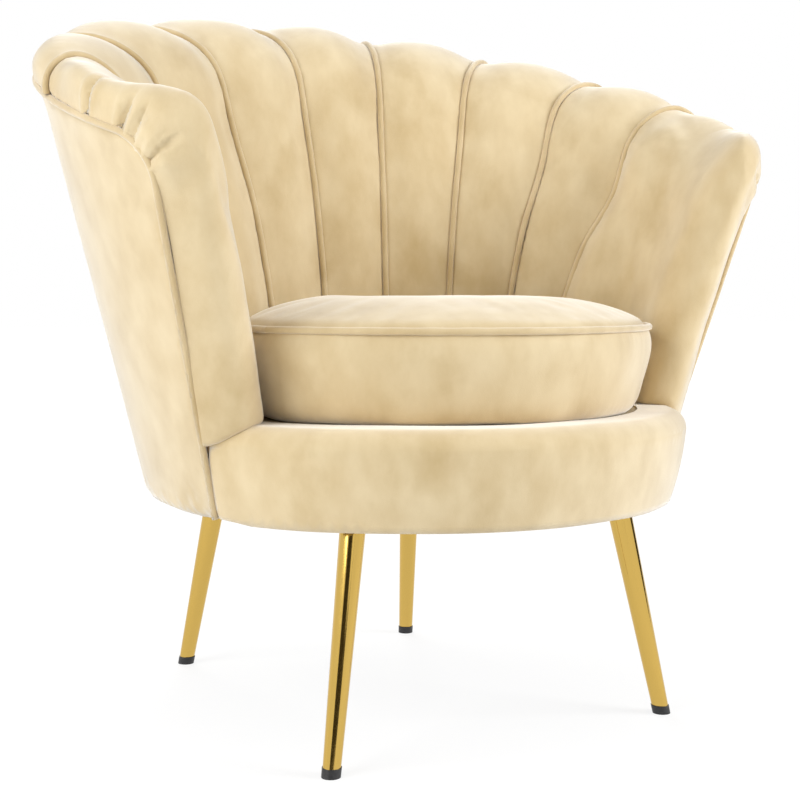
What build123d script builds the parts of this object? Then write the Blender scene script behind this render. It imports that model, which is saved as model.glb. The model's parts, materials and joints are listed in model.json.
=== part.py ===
from build123d import *
import math
import os

# Scalloped tub armchair. Millimetres, +Z up, the front faces -Y.
# Everything is modelled about the middle of the round drum and moved by DRUM_Y on export.
DRUM_Y = 7.5

# Heights of the drum and the seat
DRUM_BOTTOM_Z = 232.0
BOARD_Z = 238.0
BOARD_T = 15.0
BOARD_R = 285.0
DECK_Z = 322.0
DECK_RING_T = 18.0
STRAP_T = 1.5
CLOTH_T = 2.0
SEAT_Z = 442.0
REST_GAP = 0.3

# Outer face of the tub: an oval at the drum, a wider and flatter one at the rim
OUTER_LOW = (BOARD_R - 1.0, BOARD_R - 1.0, -10.0)
OUTER_HIGH = (440.0, 345.0, -60.0)
OUTER_HIGH_Z = 760.0

# Inner face of the tub at the channel seams
TUB_Y = -60.0
SEAT_A = 262.0
SEAT_B = 178.0
CREST_A = 388.0
CREST_B = 294.0
PETAL_STEP = 23.4
SEAT_TWIST = 0.8
LOW_LEAN = 0.4

# The rim falls towards the arms along one sloping plane
RIM_Z = 674.0
RIM_SLOPE = 0.352
ROLL_IN = 85.0
ROLL_DROP = 95.0
ROLL_SEAT = 30.0
BUMP_UP = 17.0
BUMP_IN = 14.0
BUMP_OUT = 9.0
SEAM_GAP = 1.0
FOOT_CROWN = 0.55
SEAT_CROWN = 0.75

# Arm fronts
ARM_LOW_ANGLE = 110.0
ARM_HIGH_ANGLE = 113.5
ARM_HIGH_Z = 600.0
ARM_WIDTH = 64.0
ARM_TURN = 30.0
ARM_MID_ANGLE = 97.0
ARM_MID_BUMP = 10.0
ARM_FRONT_BUMP = 22.0
NOSE_HALF = 26.0
NOSE_FULL = 38.0

# Boards of the tub wall
COVER_T = 2.0
PANEL_T = 4.0
INNER_T = 6.0
RIB_T = 18.0
RAIL_T = 18.0
POST_T = 22.0
INNER_LOW = (264.0, 189.0)
INNER_HIGH = (430.0, 305.0)
BOTTOM_TURN = ((0.0, 13.0), (5.0, 4.0), (14.0, 0.0))

# Drum front
RAIL_OUT_R = BOARD_R - 8.0
RAIL_IN_R = RAIL_OUT_R - 9.0
BAND_LOW_R = BOARD_R + 6.0
BAND_BULGE_R = BAND_LOW_R + 15.0
BAND_BULGE_Z = 308.0
BAND_LAP_R = BOARD_R - 30.0
DECK_HOLE = (212.0, 172.0, -76.0)
SPACER_SIZE = (60.0, 28.0)
SPACER_R = BOARD_R - 45.0
SPACER_ANGLES = (20.0, 70.0, 110.0, 160.0)
STRAP_W = 50.0
STRAP_LAP = 20.0
STRAP_PITCH = 82.0
DUST_T = 1.0
DUST_INSET = 12.0

# Cushion
CUSHION_WELT_Z = 416.0
CUSHION_HALF = 227.0
CUSHION_BACK = 86.0
CUSHION_FRONT = -266.0
CUSHION_SIDE_BACK = -60.0
CUSHION_SIDE_FRONT = -125.0
CUSHION_FRONT_DRAW = 0.7
# Each row of the cushion: height above the deck, and how far it is drawn in
CUSHION_ROWS = ((0.0, 24.0), (11.0, 11.0), (54.0, 3.0), (88.7, 0.0), (103.7, 16.0), (112.7, 48.0), (117.7, 110.0))

# Piping
RIM_CORNER = 34.0
RIM_TURN_ANGLE = 105.0
WELT_R = 3.5
WELT_LIFT = 6.0

# Legs
LEG_TOP_R = 12.8
LEG_FOOT_R = 8.6
FRONT_TOP = (162.0, -171.0)
FRONT_FOOT = (203.0, -202.0)
REAR_TOP = (133.0, 203.0)
REAR_FOOT = (157.0, 252.0)
CAP_H = 9.0
CAP_OVER = 0.7
PLATE_R = 22.0
PLATE_T = 3.0
SCREW_RING_R = 17.0
SCREW_R = 2.0
SCREW_PLAY = 0.1
SCREW_L = 16.0
SCREW_HEAD_R = 3.6
SCREW_HEAD_H = 2.2

BIG = 1200.0
CLOTH_Z = DECK_Z + 2 * STRAP_T + CLOTH_T
BOARD_TOP_Z = BOARD_Z + BOARD_T
RING_LOW_Z = DECK_Z - DECK_RING_T
PLATE_LOW_Z = BOARD_Z - DUST_T - PLATE_T

os.makedirs("parts", exist_ok=True)


def export(name, shape):
    """Write one node, moved into the chair's own frame. A list is kept as separate solids."""
    shapes = shape if isinstance(shape, list) else [shape]
    pieces = [Pos(0, DRUM_Y, 0) * solid for piece in shapes for solid in piece.solids()]
    export_step(pieces[0] if len(pieces) == 1 else Compound(pieces), f"parts/{name}.step")


def mirrored(shape):
    return shape.mirror(Plane.YZ)


def both_sides(shape):
    return [shape, mirrored(shape)]


def slab(low, high, radius=BIG):
    """A flat round slab between two heights."""
    return Pos(0, 0, low) * Cylinder(radius, high - low, align=(Align.CENTER, Align.CENTER, Align.MIN))


def oval(a, b, y, z):
    return Pos(0, y, z) * Ellipse(a, b)


def outer_solid(inset):
    """The filled tub, drawn in from its outer face."""
    high_a, high_b, high_y = OUTER_HIGH
    faces = []
    for rise, draw in BOTTOM_TURN:
        a, b, y = outer_oval_at(DRUM_BOTTOM_Z + rise)
        shrink = draw + inset
        faces.append(oval(a - shrink, b - shrink, y, DRUM_BOTTOM_Z + rise).face())
    faces.append(oval(high_a - inset, high_b - inset, high_y, OUTER_HIGH_Z).face())
    return loft(faces, ruled=True)


def inner_solid(outset):
    """The filled seat space inside the inner board, let out by outset."""
    low = oval(INNER_LOW[0] + outset, INNER_LOW[1] + outset, TUB_Y, DECK_Z)
    high = oval(INNER_HIGH[0] + outset, INNER_HIGH[1] + outset, TUB_Y, OUTER_HIGH_Z)
    return loft([low.face(), high.face()], ruled=True)


def outer_oval_at(z):
    """Half width, half depth and middle of the outer face at one height."""
    share = (z - DRUM_BOTTOM_Z) / (OUTER_HIGH_Z - DRUM_BOTTOM_Z)
    return [low + share * (high - low) for low, high in zip(OUTER_LOW, OUTER_HIGH)]


def outer_point(angle, z):
    a, b, y = outer_oval_at(z)
    turn = math.radians(angle)
    return Vector(a * math.sin(turn), y + b * math.cos(turn), z)


def oval_point(a, b, angle):
    turn = math.radians(angle)
    return Vector(a * math.sin(turn), TUB_Y + b * math.cos(turn), 0)


def reach_outer(start, along, z):
    """Distance from start along a level direction to the outer face at height z."""
    a, b, y = outer_oval_at(z)
    px, py = start.X / a, (start.Y - y) / b
    dx, dy = along.X / a, along.Y / b
    qa = dx * dx + dy * dy
    qb = px * dx + py * dy
    qc = px * px + py * py - 1
    return (-qb + math.sqrt(qb * qb - qa * qc)) / qa


def crest_z(y):
    return RIM_Z + RIM_SLOPE * y


def seat_z(y):
    """Height of the sloping top of the wall, where the roll sits."""
    return crest_z(y) - ROLL_SEAT


def below_rim(drop):
    """All space below the sloping top of the wall, lowered by drop."""
    tilt = math.degrees(math.atan(RIM_SLOPE))
    block = Box(2 * BIG, 2 * BIG, BIG, align=(Align.CENTER, Align.CENTER, Align.MAX))
    return Pos(0, 0, RIM_Z - ROLL_SEAT - drop) * Rot(tilt, 0, 0) * block


def section_points(seat, crest, bump_in=0.0, bump_up=0.0, bump_out=0.0):
    """Corner points of the wall's padded section in the upright plane through seat and crest."""
    along = (crest - seat).normalized()
    reach = (crest - seat).length
    top = crest_z(crest.Y)
    lean = LOW_LEAN * (reach - ROLL_IN) / (top - ROLL_DROP - SEAT_Z)

    def at(r, z):
        flat = seat + along * r
        return Vector(flat.X, flat.Y, z)

    outer_z = seat_z(crest.Y)
    outer_r = reach
    for _ in range(4):
        outer_r = reach_outer(seat, along, outer_z)
        outer_z = seat_z((seat + along * outer_r).Y)
    wide = outer_r + bump_out
    high = top + bump_up
    half = math.sqrt(0.5)
    base_r = lean * (SEAT_Z - CLOTH_Z)
    return {
        "along": along,
        "foot": at(-base_r - FOOT_CROWN * bump_in, CLOTH_Z),
        "seat": at(-SEAT_CROWN * bump_in, SEAT_Z),
        "turn": at(reach - ROLL_IN - bump_in, top - ROLL_DROP + bump_up),
        "turn_mid": at(reach - (ROLL_IN + bump_in) * half, high - ROLL_DROP * (1 - half)),
        "crest": at(reach, high),
        "edge_mid": at(reach + (wide - reach) * half, outer_z + (high - outer_z) * half),
        "edge": at(wide, outer_z),
        "back": at(wide, CLOTH_Z),
    }


def section_wire(p, shift=Vector(0, 0, 0)):
    """Closed outline of one padded section, moved sideways for the seam."""
    q = {name: point + shift for name, point in p.items() if name != "along"}
    return Wire([
        Edge.make_three_point_arc(q["foot"], q["seat"], q["turn"]),
        Edge.make_three_point_arc(q["turn"], q["turn_mid"], q["crest"]),
        Edge.make_three_point_arc(q["crest"], q["edge_mid"], q["edge"]),
        Edge.make_line(q["edge"], q["back"]),
        Edge.make_line(q["back"], q["foot"]),
    ])


def seam_points(index):
    """The padded section at channel seam index, counted from the middle of the back."""
    angle = (index - 0.5) * PETAL_STEP
    seat = oval_point(SEAT_A, SEAT_B, angle * SEAT_TWIST)
    crest = oval_point(CREST_A, CREST_B, angle)
    return section_points(seat, crest)


def middle_points(index):
    """The crowned section in the middle of the petal after seam index."""
    angle = index * PETAL_STEP
    reach_in = math.cos(math.radians(PETAL_STEP * SEAT_TWIST / 2))
    seat = oval_point(SEAT_A * reach_in, SEAT_B * reach_in, angle * SEAT_TWIST)
    crest = oval_point(CREST_A, CREST_B, angle)
    return section_points(seat, crest, BUMP_IN, BUMP_UP, BUMP_OUT)


def across(p):
    """Level direction square to a section, towards the arm on the +X side."""
    return Vector(p["along"].Y, -p["along"].X, 0)


def petal(index):
    """A back petal between seam index and the next, before the wall is cut from it."""
    low = seam_points(index)
    high = seam_points(index + 1)
    wires = [
        section_wire(low, across(low) * (SEAM_GAP / 2)),
        section_wire(middle_points(index)),
        section_wire(high, across(high) * (-SEAM_GAP / 2)),
    ]
    return Solid.make_loft(wires)


def middle_petal():
    side = seam_points(1)
    right = section_wire(side, across(side) * (-SEAM_GAP / 2))
    return Solid.make_loft([right.mirror(Plane.YZ), section_wire(middle_points(0)), right])


ARM_LOW = outer_point(ARM_LOW_ANGLE, DRUM_BOTTOM_Z)
ARM_HIGH = outer_point(ARM_HIGH_ANGLE, ARM_HIGH_Z)
ARM_RISE = (ARM_HIGH - ARM_LOW).normalized()
ARM_IN = Vector(-math.cos(math.radians(ARM_TURN)), math.sin(math.radians(ARM_TURN)), 0)
ARM_FRONT = ARM_RISE.cross(ARM_IN).normalized()


def arm_plane(forward):
    """Plane of the arm front on the +X side, moved forward out of the chair."""
    return Plane(origin=ARM_LOW + ARM_FRONT * forward, x_dir=ARM_IN, z_dir=ARM_FRONT)


def behind_arm(forward):
    """All space behind the two arm front planes."""
    block = Box(2 * BIG, 2 * BIG, BIG, align=(Align.CENTER, Align.CENTER, Align.MAX))
    half = Box(BIG, 2 * BIG, 2 * BIG, align=(Align.MIN, Align.CENTER, Align.CENTER))
    right = (arm_plane(forward) * block) & half
    return right + mirrored(right)


def arm_section(forward, draw_in, draw_down):
    """Outline across the arm front, rounded off towards the nose."""
    def at(inward, z):
        climb = (z - ARM_LOW.Z) / ARM_RISE.Z
        return ARM_LOW + ARM_RISE * climb + ARM_IN * inward + ARM_FRONT * forward

    top_y = ARM_HIGH.Y
    low_z = CLOTH_Z
    high_z = crest_z(top_y) + ARM_FRONT_BUMP - draw_down
    edge_z = seat_z(top_y) - draw_down
    inner = ARM_WIDTH - draw_in
    crown = (inner + draw_in) / 2
    half = math.sqrt(0.5)
    turn_z = high_z - ROLL_DROP
    return section_wire({
        "foot": at(inner - 4, low_z),
        "seat": at(inner, (low_z + turn_z) / 2),
        "turn": at(inner - 3, turn_z),
        "turn_mid": at(crown + (inner - 3 - crown) * half, high_z - ROLL_DROP * (1 - half)),
        "crest": at(crown, high_z),
        "edge_mid": at(draw_in + (crown - draw_in) * (1 - half), edge_z + (high_z - edge_z) * half),
        "edge": at(draw_in, edge_z),
        "back": at(draw_in, low_z),
    })


def arm_middle():
    angle = ARM_MID_ANGLE
    seat = oval_point(SEAT_A * 0.985, SEAT_B, angle * 0.85)
    crest = oval_point(CREST_A, CREST_B, angle)
    return section_wire(section_points(seat, crest, BUMP_IN, ARM_MID_BUMP, BUMP_OUT))


def arm_petal():
    """The wide petal of the +X arm, gathered round the arm front into a nose."""
    seam = seam_points(4)
    wires = [
        section_wire(seam, across(seam) * (SEAM_GAP / 2)),
        arm_middle(),
        arm_section(0, 0, 0),
        arm_section(NOSE_HALF, 9, 10),
        arm_section(NOSE_FULL, 22, 28),
    ]
    return Solid.make_loft(wires)



def tube(path):
    """A round cord along a smooth path."""
    return sweep(Plane(path @ 0, z_dir=path % 0) * Circle(WELT_R), path)


def channel_welt(index):
    """A cord along one seam, from the deck over the roll to the outer edge."""
    p = seam_points(index)
    along = p["along"]
    up = Vector(0, 0, 1)
    arcs = section_wire(p).edges()
    stations = [(0, 0.0), (0, 0.25), (0, 0.5), (0, 0.75), (1, 0.0), (1, 0.5), (2, 0.0), (2, 0.5), (2, 1.0)]
    points = []
    for arc, share in stations:
        heading = arcs[arc] % share
        square = up * heading.dot(along) - along * heading.Z
        points.append(arcs[arc] @ share + square * WELT_LIFT)
    return tube(Edge.make_spline(points))


def rim_welt():
    """Piping under the outer edge of the roll and down both arm fronts."""
    off = WELT_R + REST_GAP

    def beside(angle, z):
        point = outer_point(angle, z)
        out = Vector(point.X, point.Y - TUB_Y, 0).normalized()
        return point + out * off

    def arm_angle(z):
        share = (z - DRUM_BOTTOM_Z) / (ARM_HIGH_Z - DRUM_BOTTOM_Z)
        return ARM_LOW_ANGLE + share * (ARM_HIGH_ANGLE - ARM_LOW_ANGLE) - 1.5

    def rim_height(angle):
        z = ARM_HIGH_Z
        for _ in range(6):
            z = seat_z(outer_point(angle, z).Y) - off
        return z

    corner = rim_height(ARM_HIGH_ANGLE) - RIM_CORNER
    foot = beside(arm_angle(DRUM_BOTTOM_Z), DRUM_BOTTOM_Z + WELT_R)
    front = Edge.make_line(foot, beside(arm_angle(corner), corner))
    angles = [RIM_TURN_ANGLE - RIM_TURN_ANGLE * i / 6 for i in range(13)]
    rim = Edge.make_spline([beside(angle, rim_height(angle)) for angle in angles])
    bend = Edge.make_spline([front @ 1, rim @ 0], tangents=[front % 1, rim % 0])
    edges = [front, bend, rim, bend.mirror(Plane.YZ), front.mirror(Plane.YZ)]
    return tube(Wire(edges))


def seam_slab(index):
    """A thick upright slab standing in one seam's plane, outside the seat."""
    p = seam_points(index)
    plane = Plane(origin=(p["foot"].X, p["foot"].Y, DECK_Z), x_dir=p["along"], z_dir=(0, 0, 1))
    return plane * Box(BIG / 2, RIB_T, BIG, align=(Align.MIN, Align.CENTER, Align.CENTER))


def band_profile(skin):
    """Outline of the drum front from the axis out, drawn in by the skin thickness."""
    low = BAND_LOW_R - skin
    bulge = BAND_BULGE_R - skin
    top = CLOTH_Z - skin
    low_z = DRUM_BOTTOM_Z if skin == 0 else BOARD_Z
    shoulder = bulge - (top - BAND_BULGE_Z)
    outline = [
        Line((BAND_LAP_R, low_z), (low, low_z)),
        ThreePointArc((low, low_z), (bulge - 4, (low_z + BAND_BULGE_Z) / 2 + 8), (bulge, BAND_BULGE_Z)),
        RadiusArc((bulge, BAND_BULGE_Z), (shoulder, top), -(top - BAND_BULGE_Z)),
        Line((shoulder, top), (BAND_LAP_R, top)),
        Line((BAND_LAP_R, top), (BAND_LAP_R, low_z)),
    ]
    return revolve(Plane.XZ * make_face(outline), Axis.Z)


def cushion():
    """The crowned seat cushion, drawn in towards its underside."""
    sections = []
    for rise, draw in CUSHION_ROWS:
        half = CUSHION_HALF - draw
        back = CUSHION_BACK - draw
        front = CUSHION_FRONT + CUSHION_FRONT_DRAW * draw
        sections.append(cushion_outline(half, back, front, CLOTH_Z + REST_GAP + rise))
    return Solid.make_loft(sections)


def cushion_outline(half, back, front, z):
    shrink = half / CUSHION_HALF
    side_back = CUSHION_SIDE_BACK * shrink
    side_front = CUSHION_SIDE_FRONT * shrink
    return Wire([
        Edge.make_three_point_arc((-half, side_back, z), (0, back, z), (half, side_back, z)),
        Edge.make_line((half, side_back, z), (half, side_front, z)),
        Edge.make_three_point_arc((half, side_front, z), (0, front, z), (-half, side_front, z)),
        Edge.make_line((-half, side_front, z), (-half, side_back, z)),
    ])


def cushion_welt():
    """Piping round the top edge of the cushion."""
    off = WELT_R + REST_GAP
    path = cushion_outline(CUSHION_HALF + off, CUSHION_BACK + off, CUSHION_FRONT - off, CUSHION_WELT_Z)
    start = path.edges()[0]
    return sweep(Plane(start @ 0, z_dir=start % 0) * Circle(WELT_R), path, transition=Transition.ROUND)


def leg_line(top, foot):
    """Point and direction of a leg's axis, from the floor upwards."""
    low = Vector(foot[0], foot[1], 0)
    high = Vector(top[0], top[1], DRUM_BOTTOM_Z)
    return low, (high - low).normalized(), (high - low).length


def leg_cone(top, foot, extra):
    """A tapered round bar along the leg's axis, longer than the leg at both ends."""
    low, up, length = leg_line(top, foot)
    grow = (LEG_TOP_R - LEG_FOOT_R) / length
    spare = 30.0
    start = Plane(origin=low - up * spare, z_dir=up)
    low_r = LEG_FOOT_R - grow * spare + extra
    high_r = LEG_TOP_R + grow * spare + extra
    return Solid.make_cone(low_r, high_r, length + 2 * spare, start)


def plate_at(top):
    return Pos(top[0], top[1], 0) * slab(PLATE_LOW_Z, PLATE_LOW_Z + PLATE_T, PLATE_R)


def screw_places():
    """Middles of the plate screws: four round each leg."""
    for x, y in (FRONT_TOP, REAR_TOP):
        for side in (1, -1):
            for dx, dy in ((SCREW_RING_R, 0), (-SCREW_RING_R, 0), (0, SCREW_RING_R), (0, -SCREW_RING_R)):
                yield Pos(side * x + dx, y + dy, 0)


def screw():
    shank = slab(PLATE_LOW_Z, PLATE_LOW_Z + SCREW_L, SCREW_R)
    return shank + slab(PLATE_LOW_Z - SCREW_HEAD_H, PLATE_LOW_Z, SCREW_HEAD_R)


def screw_hole():
    return slab(PLATE_LOW_Z, PLATE_LOW_Z + SCREW_L + SCREW_PLAY, SCREW_R + SCREW_PLAY)


def strap_row(count, along_y, low_z):
    """One layer of webbing straps across the deck opening, lapped onto the ring."""
    a, b, y = DECK_HOLE
    room = Pos(0, y, 0) * extrude(Ellipse(a + STRAP_LAP, b + STRAP_LAP), BIG)
    room = room & slab(low_z, low_z + STRAP_T, BAND_LAP_R - REST_GAP)
    straps = []
    for i in range(count):
        offset = (i - (count - 1) / 2) * STRAP_PITCH
        size = (STRAP_W, BIG) if along_y else (BIG, STRAP_W)
        place = Pos(offset, y, low_z) if along_y else Pos(0, y + offset, low_z)
        straps.append(place * Box(*size, 3 * STRAP_T) & room)
    return straps


OUTER = outer_solid(0)
COVER_IN = outer_solid(COVER_T)
PANEL_IN = outer_solid(COVER_T + PANEL_T)
SEAT_SPACE = inner_solid(0)
BOARD_OUT = inner_solid(INNER_T)
TOP = below_rim(0)
UNDER_RAIL = below_rim(RAIL_T)
BEHIND = behind_arm(0)
BEHIND_POST = behind_arm(-POST_T)
ABOVE_DECK = slab(DECK_Z, BIG)

# Piping
welts = [channel_welt(index) for index in (1, 2, 3, 4)]
export("channel_welts", welts + [mirrored(welt) for welt in welts])
export("rim_welt", rim_welt())

# Padded petals, cut to sit on the wall
CUTTER = (slab(0, BIG) - SEAT_SPACE) & TOP & BEHIND
export("petal_5", middle_petal() - CUTTER)
for number in (1, 2, 3):
    pad = petal(number) - CUTTER
    export(f"petal_{5 + number}", pad)
    export(f"petal_{5 - number}", mirrored(pad))
arm = arm_petal() - CUTTER - slab(0, CLOTH_Z)
export("petal_9", arm)
export("petal_1", mirrored(arm))

# Tub wall
export("outer_cover", (OUTER - COVER_IN) & TOP & BEHIND)
export("outer_panel", (COVER_IN - PANEL_IN) & slab(BOARD_TOP_Z, BIG) & TOP & BEHIND)
hollow = (PANEL_IN - SEAT_SPACE) & ABOVE_DECK
export("rim_rail", (hollow & TOP & BEHIND_POST) - UNDER_RAIL)
export("inner_board", (BOARD_OUT - SEAT_SPACE) & ABOVE_DECK & UNDER_RAIL & BEHIND_POST)
ribs = [(PANEL_IN - BOARD_OUT) & ABOVE_DECK & UNDER_RAIL & seam_slab(index) for index in (1, 2, 3, 4)]
export("back_ribs", ribs + [mirrored(rib) for rib in ribs])
posts = (hollow & TOP & BEHIND) - BEHIND_POST
right_post = posts & Box(BIG, 2 * BIG, 2 * BIG, align=(Align.MIN, Align.CENTER, Align.CENTER))
export("arm_post_right", right_post)
export("arm_post_left", mirrored(right_post))

# Drum
holes = [place * screw_hole() for place in screw_places()]
board = COVER_IN & slab(BOARD_Z, BOARD_TOP_Z, BOARD_R)
export("base_board", board - holes)
hole_a, hole_b, hole_y = DECK_HOLE
deck_hole = Pos(0, hole_y, 0) * extrude(Ellipse(hole_a, hole_b), BIG)
ring = (PANEL_IN & slab(RING_LOW_Z, DECK_Z) & slab(0, BIG, RAIL_OUT_R)) - deck_hole
export("deck_ring", ring)
rail = slab(BOARD_TOP_Z, RING_LOW_Z, RAIL_OUT_R) - slab(BOARD_TOP_Z, RING_LOW_Z, RAIL_IN_R)
export("front_rail", rail - BEHIND)
blocks = []
for angle in SPACER_ANGLES:
    height = RING_LOW_Z - BOARD_TOP_Z
    block = Box(SPACER_SIZE[1], SPACER_SIZE[0], height, align=(Align.CENTER, Align.CENTER, Align.MIN))
    blocks += both_sides(Rot(0, 0, 90 - angle) * Pos(SPACER_R, 0, BOARD_TOP_Z) * block)
export("base_spacers", blocks)
foam = band_profile(COVER_T) - board - ring - rail - slab(BOARD_TOP_Z, RING_LOW_Z, RAIL_OUT_R) - BEHIND
export("front_band_foam", foam - slab(0, DECK_Z, RAIL_OUT_R))
band = band_profile(0) - band_profile(COVER_T) - slab(0, CLOTH_Z - COVER_T, BAND_LOW_R - COVER_T)
export("front_band_cover", band - BEHIND)
export("webbing_across", strap_row(4, False, DECK_Z))
export("webbing_along", strap_row(5, True, DECK_Z + STRAP_T))
cloth = inner_solid(-REST_GAP) & slab(CLOTH_Z - CLOTH_T, CLOTH_Z) & slab(0, BIG, BAND_LAP_R - REST_GAP)
export("deck_cloth", cloth)
dust = outer_solid(DUST_INSET) & slab(BOARD_Z - DUST_T, BOARD_Z)
export("dust_cover", dust - holes)

# Loose seat cushion
export("cushion_pad", cushion())
export("cushion_welt", cushion_welt())

# Legs
LEG_ROOM = slab(CAP_H, PLATE_LOW_Z)
CAP_ROOM = slab(0, CAP_H)
for place, top, foot in (("front", FRONT_TOP, FRONT_FOOT), ("rear", REAR_TOP, REAR_FOOT)):
    leg = leg_cone(top, foot, 0) & LEG_ROOM
    cap = leg_cone(top, foot, CAP_OVER) & CAP_ROOM
    export(f"leg_{place}_right", leg)
    export(f"leg_{place}_left", mirrored(leg))
    export(f"foot_cap_{place}_right", cap)
    export(f"foot_cap_{place}_left", mirrored(cap))
plates = [plate for top in (FRONT_TOP, REAR_TOP) for plate in both_sides(plate_at(top))]
export("leg_plates", [plate - holes for plate in plates])
export("leg_screws", [place * screw() for place in screw_places()])
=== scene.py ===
# %% [markdown]
# # A scalloped velvet tub chair
# The chair is a padded shell of nine petals on a round drum, with a loose cushion and four gold legs.
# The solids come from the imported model. They hold every size, so this lesson only dresses them: rigid
# pieces keep their solid and get a finish, and soft pieces are made again with cloth-like form.

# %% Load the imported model
import json
import math

import bmesh
import bpy
import numpy as np
from mathutils import Matrix
from mathutils.kdtree import KDTree


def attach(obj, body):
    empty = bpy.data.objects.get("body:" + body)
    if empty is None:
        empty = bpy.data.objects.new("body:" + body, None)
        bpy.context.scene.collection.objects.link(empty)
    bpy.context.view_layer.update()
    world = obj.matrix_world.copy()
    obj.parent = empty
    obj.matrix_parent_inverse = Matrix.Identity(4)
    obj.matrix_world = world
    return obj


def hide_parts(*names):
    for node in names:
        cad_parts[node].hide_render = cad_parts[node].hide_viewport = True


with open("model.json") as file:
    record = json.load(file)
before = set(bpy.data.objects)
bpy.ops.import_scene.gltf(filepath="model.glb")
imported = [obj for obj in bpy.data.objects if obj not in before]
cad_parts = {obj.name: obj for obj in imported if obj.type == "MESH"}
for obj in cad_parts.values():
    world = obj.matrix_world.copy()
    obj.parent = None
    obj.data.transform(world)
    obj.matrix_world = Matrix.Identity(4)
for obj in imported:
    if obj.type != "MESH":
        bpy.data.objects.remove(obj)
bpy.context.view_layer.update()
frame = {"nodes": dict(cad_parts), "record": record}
scene = bpy.context.scene
scene.view_settings.view_transform = "Standard"
print("solids:", len(frame["nodes"]))

# %% [markdown]
# ## Camera
# The photograph was taken from the chair's front left, a little above seat height. The camera's place
# was worked out from the four feet and the rim seams. A camera could be turned by three angles one
# after another, but a matrix built from its axes is easier to check: the first column points right, the
# second up, and the third back at the viewer.

# %% Camera at the photograph's view
PHOTO_PIXELS = 800.0
FOCAL_PIXELS = 1443.0
SENSOR_WIDTH = 36.0
DRUM_Y = 0.0075
VIEW_AZIMUTH = math.radians(-31.5)
VIEW_DISTANCE = 1.596
VIEW_HEIGHT = 0.454
VIEW_YAW = math.radians(0.19)
VIEW_PITCH = math.radians(4.36)
VIEW_ROLL = math.radians(0.21)

camera_data = bpy.data.cameras.new("camera")
camera_data.sensor_width = SENSOR_WIDTH
camera_data.lens = FOCAL_PIXELS / PHOTO_PIXELS * camera_data.sensor_width
camera = bpy.data.objects.new("camera", camera_data)
scene.collection.objects.link(camera)
scene.camera = camera
heading = VIEW_AZIMUTH + VIEW_YAW
ahead = np.array([
    -math.sin(heading) * math.cos(VIEW_PITCH),
    math.cos(heading) * math.cos(VIEW_PITCH),
    -math.sin(VIEW_PITCH),
])
level = np.array([math.cos(heading), math.sin(heading), 0.0])
upright = np.cross(level, ahead)
right = math.cos(VIEW_ROLL) * level + math.sin(VIEW_ROLL) * upright
upward = math.cos(VIEW_ROLL) * upright - math.sin(VIEW_ROLL) * level
place = (
    math.sin(VIEW_AZIMUTH) * VIEW_DISTANCE,
    DRUM_Y - math.cos(VIEW_AZIMUTH) * VIEW_DISTANCE,
    VIEW_HEIGHT,
)
rows = [[right[i], upward[i], -ahead[i], place[i]] for i in range(3)] + [[0, 0, 0, 1]]
camera.matrix_world = Matrix(rows)
print("camera at", [round(v, 3) for v in place], "lens", round(camera_data.lens, 1))

# %% [markdown]
# ## Finishes
# A finish is a small network of nodes. Each one here starts with Blender's Principled shader. Its
# pattern could be a picture, but noise needs none and never repeats. The helpers below make what
# several finishes share: noise on the piece's own coordinates, a ramp from one colour to another, and a
# fine relief.


# %% Helpers for finishes
def new_finish(name):
    """A new material, its node tree and its Principled shader."""
    material = bpy.data.materials.new(name)
    material.use_nodes = True
    tree = material.node_tree
    return material, tree, tree.nodes["Principled BSDF"]


def set_inputs(node, values):
    """Set some of a node's inputs by their names."""
    for name, value in values.items():
        node.inputs[name].default_value = value


def add_noise(tree, scale, detail, stretch=(1, 1, 1)):
    """Noise laid on the piece's own coordinates."""
    coords = tree.nodes.new("ShaderNodeTexCoord")
    mapping = tree.nodes.new("ShaderNodeMapping")
    noise = tree.nodes.new("ShaderNodeTexNoise")
    set_inputs(mapping, {"Scale": stretch})
    set_inputs(noise, {"Scale": scale, "Detail": detail})
    tree.links.new(coords.outputs["Object"], mapping.inputs["Vector"])
    tree.links.new(mapping.outputs["Vector"], noise.inputs["Vector"])
    return noise.outputs["Fac"]


def add_math(tree, operation, *values):
    """A sum worked out on plain numbers or on the outputs of other nodes."""
    node = tree.nodes.new("ShaderNodeMath")
    node.operation = operation
    for socket, value in zip(node.inputs, values):
        if isinstance(value, (int, float)):
            socket.default_value = value
        else:
            tree.links.new(value, socket)
    return node.outputs[0]


def add_ramp(tree, value, low, high, start=0.3, stop=0.7):
    """Two colours faded across part of a value's range."""
    ramp = tree.nodes.new("ShaderNodeValToRGB")
    first, last = ramp.color_ramp.elements
    first.position = start
    last.position = stop
    first.color = (*low, 1)
    last.color = (*high, 1)
    tree.links.new(value, ramp.inputs["Fac"])
    return ramp.outputs["Color"]


def add_bump(tree, shader, height, strength, distance):
    """Raise the surface by a texture."""
    bump = tree.nodes.new("ShaderNodeBump")
    set_inputs(bump, {"Strength": strength, "Distance": distance})
    tree.links.new(height, bump.inputs["Height"])
    tree.links.new(bump.outputs["Normal"], shader.inputs["Normal"])


# %% [markdown]
# ### Velvet
# Velvet is a pile of short upright fibres. Seen straight on it shows its deep colour, and seen along
# the surface the fibre tips catch the light and it turns pale. Real hairs would be slow to render, and
# the shader's sheen does the same in any view. Slow noise gives the brushed patches that a hand leaves,
# a second one the small darker marks, and very fine noise the grain of the pile.

# %% Velvet
BRUSHED_SHARE = 0.6
UNMARKED = (1, 1, 1)
MARK_TINT = (0.89, 0.86, 0.79)


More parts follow.
